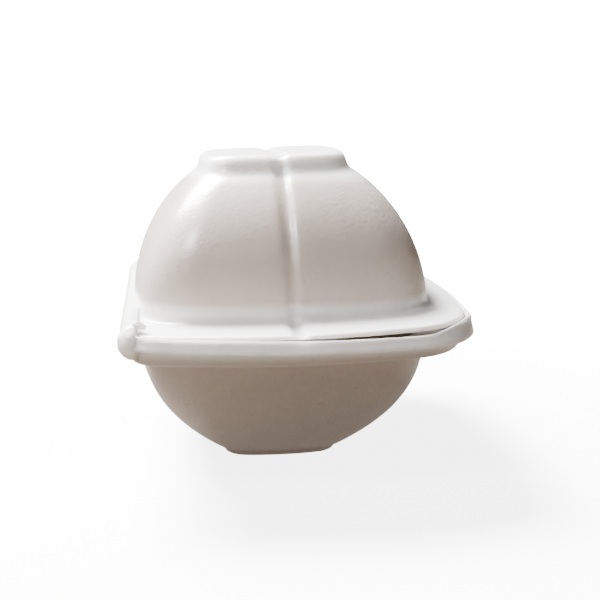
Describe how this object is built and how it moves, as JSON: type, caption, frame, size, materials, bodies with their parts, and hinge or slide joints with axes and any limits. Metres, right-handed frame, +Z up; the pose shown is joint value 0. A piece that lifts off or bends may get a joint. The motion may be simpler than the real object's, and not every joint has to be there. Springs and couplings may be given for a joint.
{
  "type": "foam clamshell container",
  "caption": "Small square foam food box: a bowl-shaped tray and a domed, grooved lid that fold together along one side.",
  "frame": {"origin": "centre of the flat face under the tray's foot, on which the container stands", "axes": "+Z up through the centre of the dome, -X towards the folded hinge, +Y along the hinge"},
  "size_m": [0.1211, 0.146, 0.1099],
  "materials": {
    "tray_foam": "expanded polystyrene foam with a smooth satin skin, warm off-white",
    "lid_foam": "expanded polystyrene foam with a smooth satin skin, warm off-white"
  },
  "bodies": {
    "tray_half": {"base_tray": "tray_foam"},
    "lid_half": {"lid": "lid_foam"}
  },
  "joints": [
    {"name": "lid_hinge", "type": "hinge", "parent": "tray_half", "child": "lid_half", "pos_m": [-0.0554, 0, 0.0573], "axis": [0, -1, 0], "range_deg": [-1.57, 178.43]}
  ]
}
